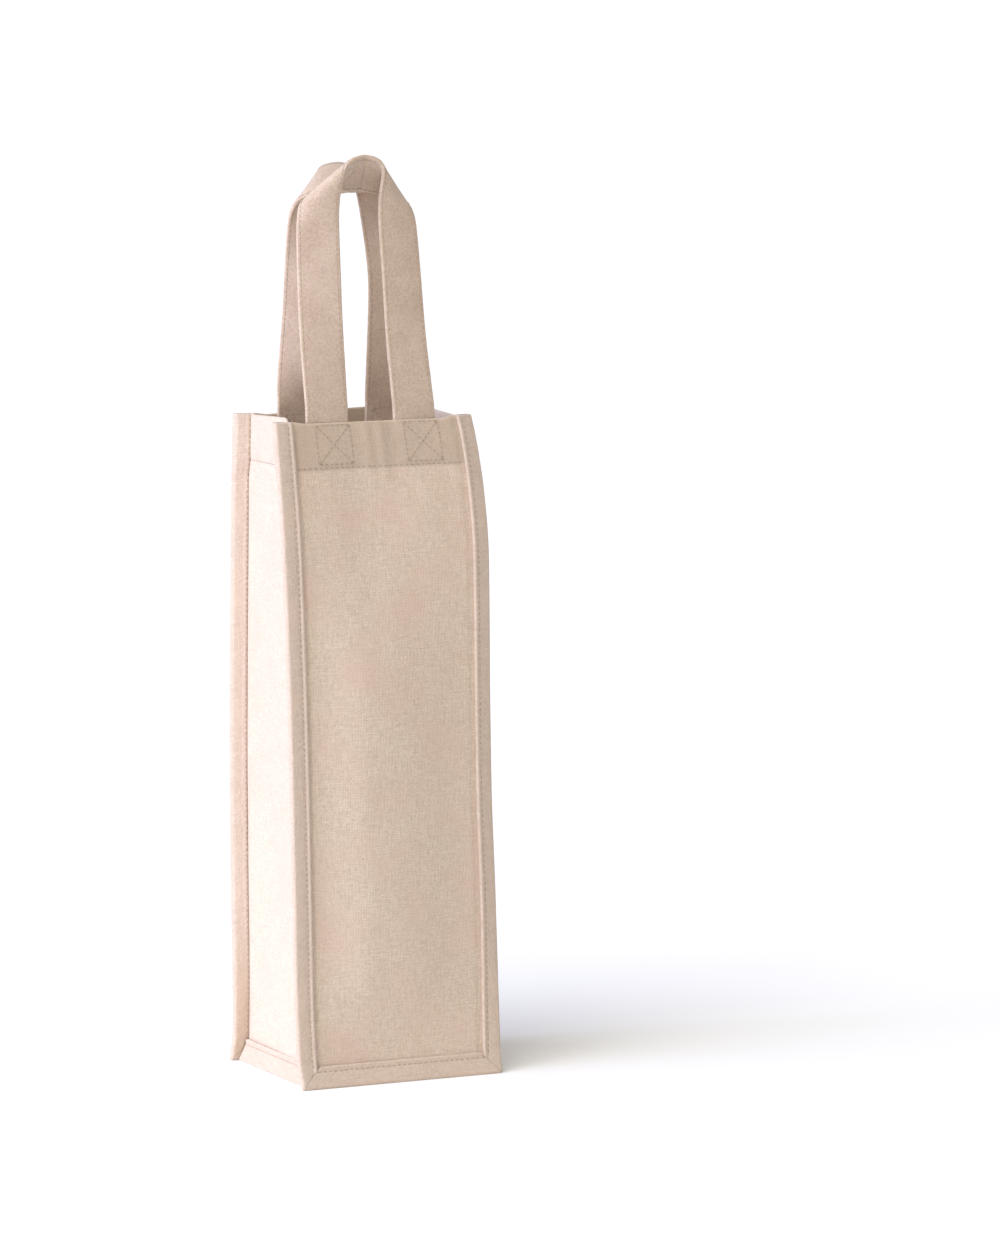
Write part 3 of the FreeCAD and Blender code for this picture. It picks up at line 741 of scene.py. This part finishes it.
def strapForm(hand):
    # u runs along the strap, v across it towards the other leg
    fold, radius, spacing = radians(hand["fold"]), strap["foldRadius"], strap["legSpacing"]
    slant = atan(1 / sqrt(-cos(fold)))
    sideways = sin(slant) * cos(slant) * (1 - cos(fold))
    crown = hand["crown"]
    crownRadius = crown / acos(sideways)
    band = radius * fold / 2

    def folded(u, v, turnAt, topAt):
        past, w = u - (topAt - crown), 0.0
        if past > 0:
            angle = past / crownRadius
            u, w = topAt - crown + crownRadius * sin(angle), crownRadius * (1 - cos(angle))
        cross = (u - turnAt) * cos(slant) - v * sin(slant)
        along = (u - turnAt) * sin(slant) + v * cos(slant)
        if cross > band:
            beyond = cross - band
            cross = -band + (radius - w) * sin(fold) + beyond * cos(fold)
            w = radius - (radius - w) * cos(fold) + beyond * sin(fold)
        elif cross > -band:
            angle = (cross + band) / radius
            cross, w = -band + (radius - w) * sin(angle), radius - (radius - w) * cos(angle)
        return along * cos(slant) - cross * sin(slant), w, turnAt + along * sin(slant) + cross * cos(slant)

    # a first guess of the fold's height and the top gives the real ones
    trialTurn = hand["rise"]
    trialTop = trialTurn + 2 * spacing
    topAt = trialTop + (spacing / 2 - folded(trialTop, 0, trialTurn, trialTop)[0]) / sideways
    turnAt = trialTurn + hand["rise"] - folded(topAt, strap["width"] / 2, trialTurn, topAt)[2]
    topAt += turnAt - trialTurn
    rootY = hand["face"] * (bag["halfDepth"] - 2 * bag["cloth"] - bag["layerGap"] - strap["thick"] / 2)

    def point(u, v):
        mirrored = u > topAt
        x, depth, rise = folded(2 * topAt - u if mirrored else u, v, turnAt, topAt)
        narrow = 1 - strap["taper"] * max(0.0, rise) / hand["rise"]
        onLeg = 1 - smooth((rise - strap["legTop"]) / strap["legFade"])
        twist = radians(curve(hand["rightTurn" if mirrored else "leftTurn"], max(rise, 0.0)))
        legX = -spacing / 2 * narrow
        x = (x - spacing / 2) * narrow
        x, depth = legX + (x - legX) * cos(twist), depth - (x - legX) * sin(twist)
        over = max(0.0, rise - hand["tipFrom"])
        over *= over / (over + strap["tipEase"])
        tip = radians(hand["tip"])
        rise, depth = rise - over * (1 - cos(tip)), depth - over * sin(tip)
        shift = (hand["shift"] + hand["legShift"] * smooth(rise / strap["shiftOver"])) * onLeg
        if mirrored:
            x = -x
            aboveBow = rise - strap["topFrom"]
            bow = hand["rightBow"] * smooth(rise / strap["bowOver"])
            bow *= 1 - smooth(aboveBow / strap["bowOver"])
            bow += hand["rightTop"] * smooth(aboveBow / strap["topOver"])
            shift += smooth(x / strap["besideMiddle"]) * bow
        else:
            shift += hand["leftBase"] * (1 - smooth(rise / strap["shiftOver"]))
        if rise < 0:  # the sewn ends lie along the leaning hem
            legAt, face, rootZ = x + hand["centre"] - bag["middle"], hand["face"], strap["rootZ"]
            shift += seamX(face, legAt, rootZ + rise) - seamX(face, legAt, rootZ)
        lean = radians(hand["lean"]) * smooth(rise / strap["leanOver"])
        inward = depth * cos(lean) + rise * sin(lean)
        upward = rise * cos(lean) - depth * sin(lean)
        return hand["centre"] + x + shift, rootY - hand["face"] * inward, strap["rootZ"] + upward

    return point, 2 * topAt


def towardsMouth(surface, hand):
    towards = np.cross(np.gradient(surface, axis=0), np.gradient(surface, axis=1)) * -hand["face"]
    return towards / np.linalg.norm(towards, axis=2, keepdims=True)


def softStrap(hand):
    # the strap's middle surface on a grid, its folds eased along the strap, the direction towards the
    # mouth there, and the strap's length
    point, loop = strapForm(hand)
    length = loop + 2 * strap["sewn"]
    rows = round(length / strap["rowLength"])
    along = [length * i / rows - strap["sewn"] for i in range(rows + 1)]
    half, last = strap["width"] / 2, strap["columns"] - 1
    sharp = np.array([[point(u, half * (2 * j / last - 1)) for j in range(last + 1)] for u in along])
    eased = sharp.copy()
    for i, u in enumerate(along):
        fromEnd = min(u, loop - u) - strap["softFrom"]
        spread = hand["soft"] * smooth(fromEnd / strap["softOver"]) / (length / rows)
        if spread > 0.3:  # narrower than a row changes nothing
            steps = np.arange(-int(3 * spread), int(3 * spread) + 1)
            weights = np.exp(-((steps / spread) ** 2) / 2)
            eased[i] = np.tensordot(weights / weights.sum(), sharp[i + steps], 1)
    # two creases run down the bent middle from its upper edge
    fromTop = np.abs(np.array(along) - loop / 2)[:, None]
    lower = np.linspace(1.0, 0.0, strap["columns"])[None, :]
    crease = np.exp(-((fromTop - strap["creaseRun"] * lower) / strap["creaseWidth"]) ** 2)
    crease *= hand["crease"] * np.sqrt(lower * (strap["creaseFade"] - lower))
    eased -= towardsMouth(eased, hand) * crease[..., None]
    return eased, towardsMouth(eased, hand), length


strapSurfaces = {word: softStrap(hand) for word, hand in handles.items()}


def onStrap(word, d, v, w):
    # d from the strap's first end, v across and w through it, in mm
    middle, towards, length = strapSurfaces[word]
    i = min(max(d / length, 0.0), 1.0) * (len(middle) - 1)
    j = min(max(v / strap["width"] + 0.5, 0.0), 1.0) * (strap["columns"] - 1)
    i0, j0 = min(int(i), len(middle) - 2), min(int(j), strap["columns"] - 2)
    fi, fj = i - i0, j - j0
    corners = (((1 - fi) * (1 - fj), i0, j0), (fi * (1 - fj), i0 + 1, j0),
               ((1 - fi) * fj, i0, j0 + 1), (fi * fj, i0 + 1, j0 + 1))
    return Vector(sum(share * (middle[a, b] + towards[a, b] * w) for share, a, b in corners))


def strapOutline(thin, dip):
    # closed outline across the strap, with a shallow dip under each row of stitches
    half, edge, steps = strap["width"] / 2, strap["edge"], strap["columns"] - 1
    outline = []
    for turn in (1, -1):
        for i in range(steps + 1):
            v = turn * (half - edge) * (2 * i / steps - 1)
            sunk = dip * exp(-((abs(v) - strap["row"]) / strap["dipWidth"]) ** 2)
            rise = strap["puff"] * (1 - (v / half) ** 2)
            outline.append((v, turn * (strap["thick"] / 2 - sunk + rise) * thin))
        for f in (0.2, 0.5, 0.8):
            v = turn * (half - edge + edge * sin(pi * f))
            outline.append((v, turn * strap["thick"] / 2 * cos(pi * f) * thin))
    return outline


def bendAtHinge(piece):
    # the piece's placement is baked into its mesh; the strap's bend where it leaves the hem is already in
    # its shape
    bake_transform(piece)


def makeStrap(word):
    middle, _, length = strapSurfaces[word]
    rows, columns = len(middle) - 1, len(strapOutline(1, 0))
    outlines = {}

    def at(s, t):
        row = round(t * rows)
        if row not in outlines:
            outlines[row] = strapOutline(roundedEnd(t, length), strap["dip"] * pucker(t * length))
        v, w = outlines[row][round(s * columns) % columns]
        return onStrap(word, t * length, v, w), (v, t * length)

    ribbon = layGrid(f"{word}Strap", columns, rows, at)
    closeTube()
    finishPiece(ribbon, twill, "strap", f"{word}_handle", f"{word}_handle_ends")
    bendAtHinge(ribbon)


for word in handles:
    makeStrap(word)
print("handles: two folded straps")

# One stitch: a short plump run of thread with both ends going down into the cloth.
stitch = {"long": 2.0, "wide": 0.55, "high": 0.42, "pitch": 3.0, "reach": 0.8}


def makeStitch():
    deselectAll()
    bpy.ops.mesh.primitive_uv_sphere_add(segments=6, ring_count=4, radius=0.5, rotation=(0, pi / 2, 0))
    bpy.ops.object.transform_apply(rotation=True)
    bpy.ops.object.mode_set(mode="EDIT")
    bpy.ops.transform.resize(value=(stitch["long"], stitch["wide"], stitch["high"]))
    bpy.ops.object.mode_set(mode="OBJECT")
    pattern = bpy.context.object
    points = [v.co.copy() for v in pattern.data.vertices]
    polygons = [tuple(p.vertices) for p in pattern.data.polygons]
    bpy.ops.object.delete()
    return points, polygons


stitchPoints, stitchPolygons = makeStitch()


def sew(path, length, lift, pitch=stitch["pitch"]):
    # places of the stitches of one row; path gives a point of the cloth, lift its outward direction there
    count = max(1, round(length / pitch))
    places = []
    for i in range(count):
        at = (i + 0.5) / count * length
        before, after = Vector(path(at - stitch["reach"])), Vector(path(at + stitch["reach"]))
        along = (after - before).normalized()
        up = Vector(lift(at) if callable(lift) else lift).normalized()
        across = up.cross(along).normalized()
        places.append((Vector(path(at)), along, across, along.cross(across)))
    return places


def makeThread(name, places, *nodes):
    points, polygons = [], []
    for at, along, across, up in places:
        start = len(points)
        points += [(at + along * p.x + across * p.y + up * p.z) * mm for p in stitchPoints]
        polygons += [tuple(start + i for i in polygon) for polygon in stitchPolygons]
    mesh = bpy.data.meshes.new(name)
    mesh.from_pydata(points, [], polygons)
    piece = bpy.data.objects.new(name, mesh)
    bpy.context.collection.objects.link(piece)
    deselectAll()
    bpy.context.view_layer.objects.active = piece
    piece.select_set(True)
    faceOutwards()
    bpy.ops.object.shade_smooth()
    finishPiece(piece, thread, "thread", *nodes)
    return piece


# The rows of stitches: how far they go, and how deep in their dips the stitches lie, in mm.
threadRows = {
    "uprightLow": 10.8, "uprightShort": 12.4, "baseShort": 1.0, "innerDrop": 0.9, "sideReach": 40.5,
    "hemReach": 47.0, "hemInside": 44.0, "sideHemReach": 39.5,
    "inDip": 0.75, "proud": 0.1, "hemProud": 0.08,
}
tapeSunk = tape["dip"] * threadRows["inDip"] - threadRows["proud"]
outerDepth = -bag["layerGap"] - tape["thick"] + tapeSunk
rowZ = bag["baseLevel"] - tape["row"]
innerZ = rowZ - threadRows["innerDrop"]


def innerDepth(z):
    return coreAt(z) + bag["layerGap"] + tape["thick"] - tapeSunk


for word, face in faces.items():
    places = []
    low, length = threadRows["uprightLow"], bag["height"] - threadRows["uprightShort"]
    for side in sides.values():
        x = side * (bag["halfWidth"] + tape["row"])
        places += sew(lambda d: onSeam(face, x, outerDepth, low + d), length, (0, face, 0))
        places += sew(lambda d: onSeam(face, x, innerDepth(low + d), low + d), length, (0, -face, 0))
    reach = bag["halfWidth"] - threadRows["baseShort"]
    places += sew(lambda d: (seamX(face, d - reach, rowZ), face * (seamY(rowZ) - outerDepth), rowZ),
                  2 * reach, (0, face, 0.2))
    places += sew(lambda d: (seamX(face, d - reach, rowZ), face * (seamY(innerZ) - innerDepth(0)), innerZ),
                  2 * reach, (0, -face, 0))
    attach(makeThread(f"{word}BindingThread", places, f"{word}_binding_thread"), "bag")

for sideWord, side in sides.items():
    reach = threadRows["sideReach"]
    places = sew(lambda d: (sideX(side, rowZ, outerDepth), d - reach, rowZ), 2 * reach, (side, 0, 0.3))
    places += sew(lambda d: (sideX(side, innerZ, innerDepth(0)), d - reach, innerZ),
                  2 * reach, (-side, 0, 0))
    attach(makeThread(f"{sideWord}BaseThread", places, f"{sideWord}_base_thread"), "bag")

hemSunk = broadPanel["stitchDip"] - threadRows["hemProud"]
hemInner = 2 * bag["cloth"] + bag["layerGap"] + hemSunk / 2


def hemRow(face, reach, depth):
    def path(d):
        x = d - reach
        return onSeam(face, x, depth - panelSwell(face, x, hemZ), hemZ)
    return path


for word, face in faces.items():
    reach, inside = threadRows["hemReach"], threadRows["hemInside"]
    places = sew(hemRow(face, reach, hemSunk), 2 * reach, (0, face, 0))
    places += sew(hemRow(face, inside, hemInner), 2 * inside, (0, -face, 0))
    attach(makeThread(f"{word}HemThread", places, f"{word}_hem_thread"), "bag")


def wallAt(side, y, depth):
    # a point of the side panel at the hem row, depth inwards from its outer face
    reach = seamY(hemZ) - layers(hemZ) - bag["layerGap"]
    share = (y / reach + 1) / 2
    wall = side * bag["halfWidth"]
    x = seamX(-1, wall, hemZ) * (1 - share) + seamX(1, wall, hemZ) * share
    return x - side * (drawnIn(side, share, hemZ) + depth), y, hemZ - slump(1, wall, hemZ) * share


for sideWord, side in sides.items():
    reach = threadRows["sideHemReach"]
    places = sew(lambda d: wallAt(side, d - reach, hemSunk), 2 * reach, (side, 0, 0))
    places += sew(lambda d: wallAt(side, d - reach, hemInner), 2 * reach, (-side, 0, 0))
    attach(makeThread(f"{sideWord}HemThread", places, f"{sideWord}_hem_thread"), "bag")

# Box stitches: a square with its diagonals at each sewn strap end, on the panel and on the strap behind.
boxStitch = {
    "halfWide": 9.9, "aside": 1.7, "low": 327.2, "high": 347.8, "pitch": 2.7, "proud": 0.1, "behind": 0.08,
}
behindDepth = 2 * bag["cloth"] + bag["layerGap"] + strap["thick"] + boxStitch["behind"]
for word, hand in handles.items():
    face = hand["face"]
    places = []
    for leg in (-1, 1):
        x = hand["centre"] + hand["shift"] + leg * strap["legSpacing"] / 2 + boxStitch["aside"]
        x = panelX(face, x + (hand["leftBase"] if leg < 0 else 0), bag["height"])
        left, right = x - boxStitch["halfWide"], x + boxStitch["halfWide"]
        low, high = boxStitch["low"], boxStitch["high"]
        ends = [((left, low), (right, low)), ((right, low), (right, high)), ((right, high), (left, high)),
                ((left, high), (left, low)), ((left, low), (right, high)), ((right, low), (left, high))]
        for start, end in ends:
            first, run = Vector(start), Vector(end) - Vector(start)

            def onPanel(d):
                px, pz = first + run * d / run.length
                return onSeam(face, px, -boxStitch["proud"] - panelSwell(face, px, pz), pz)

            def behindStrap(d):
                px, pz = first + run * d / run.length
                return onSeam(face, px, behindDepth, pz)

            places += sew(onPanel, run.length, (0, face, 0), boxStitch["pitch"])
            places += sew(behindStrap, run.length, (0, -face, 0), boxStitch["pitch"])
    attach(makeThread(f"{word}BoxStitches", places, f"{word}_box_stitches"), "bag")

# Strap thread: a row along each edge, on both faces of the loop.
strapRow = {"fromHem": 2.0, "proud": 0.12}
for word in handles:
    length = strapSurfaces[word][2]
    first = strap["sewn"] + strapRow["fromHem"]
    places = []
    for v in (-strap["row"], strap["row"]):
        for turn in (-1, 1):
            w = turn * (strap["thick"] / 2 - strap["dip"] * threadRows["inDip"] + strapRow["proud"])
            places += sew(lambda d: onStrap(word, first + d, v, w), length - 2 * first,
                          lambda d: onStrap(word, first + d, v, w + turn) - onStrap(word, first + d, v, w))
    bendAtHinge(makeThread(f"{word}StrapThread", places, f"{word}_handle_thread"))
print("thread: stitches on bindings, hems, strap ends and straps")

# Studio: a white floor, two soft lights from the left, one from the front left and a pale sky.
studio = {
    "floorSize": 120.0, "floor": "#F4F4F4", "floorGlow": 0.15, "sky": 0.34,
    "warm": (1.0, 0.98, 0.945, 1.0),
}
lamps = {
    "softKey": {"from": (-0.9, 0, 0.43), "spread": 66, "strength": 1.66, "colour": (0.93, 0.97, 1.25)},
    "sideFill": {"from": (-0.978, 0, 0.208), "spread": 24, "strength": 1.2, "colour": (0.84, 0.95, 1.44)},
    "frontFill": {"from": (-0.5, -0.4, 0.77), "spread": 40, "strength": 1.66, "colour": (1.0, 0.985, 0.95)},
}
deselectAll()
bpy.ops.mesh.primitive_plane_add(size=studio["floorSize"])
floor = bpy.context.object
floor.name = "studioFloor"
# White paper: matt and even, and a faint glow keeps it white in the photo's bright exposure.
paper, paperTree = newMaterial("whiteStudioPaper")
paperShader = addNode(paperTree, "ShaderNodeBsdfPrincipled", {
    "Base Color": linear(studio["floor"]), "Roughness": 0.9, "Specular IOR Level": 0.1,
    "Emission Color": studio["warm"], "Emission Strength": studio["floorGlow"]}).outputs[0]
addNode(paperTree, "ShaderNodeOutputMaterial", {"Surface": paperShader})
floor.data.materials.append(paper)

sky = bpy.data.worlds.new("paleSky")
sky.use_nodes = True
skyLight = sky.node_tree.nodes["Background"].inputs
skyLight["Color"].default_value = studio["warm"]
skyLight["Strength"].default_value = studio["sky"]
bpy.context.scene.world = sky

for name, lamp in lamps.items():
    bpy.ops.object.light_add(type="SUN", location=Vector(lamp["from"]) * 2)
    sun = bpy.context.object
    sun.name = name
    sun.data.angle = radians(lamp["spread"])
    sun.data.energy = lamp["strength"]
    sun.data.color = lamp["colour"]
    sun.rotation_euler = Vector(lamp["from"]).to_track_quat("Z", "Y").to_euler()

# Camera: low and a little to the left of the front, far away with a long lens.
view = {
    "azimuth": -25.87, "elevation": 7.05, "distance": 3500.0, "lens": 238.4, "sensor": 36.0,
    "aimRight": 71.67, "aimUp": 61.05, "aimHeight": 175.0, "farthest": 200.0,
}
azimuth, elevation = radians(view["azimuth"]), radians(view["elevation"])
rightWay = Vector((cos(azimuth), sin(azimuth), 0))
backWay = Vector((sin(azimuth) * cos(elevation), -cos(azimuth) * cos(elevation), sin(elevation)))
upWay = backWay.cross(rightWay)
aim = Vector((bag["middle"], 0, view["aimHeight"])) + rightWay * view["aimRight"] + upWay * view["aimUp"]
bpy.ops.object.camera_add(location=(aim + backWay * view["distance"]) * mm)
camera = bpy.context.object
camera.name = "photoCamera"
camera.rotation_euler = Matrix((rightWay, upWay, backWay)).transposed().to_euler()
camera.data.sensor_fit = "HORIZONTAL"
camera.data.sensor_width = view["sensor"]
camera.data.lens = view["lens"]
camera.data.clip_end = view["farthest"]
bpy.context.scene.camera = camera
bpy.context.scene.view_settings.view_transform = "Standard"
print("studio: floor, three lights, camera")
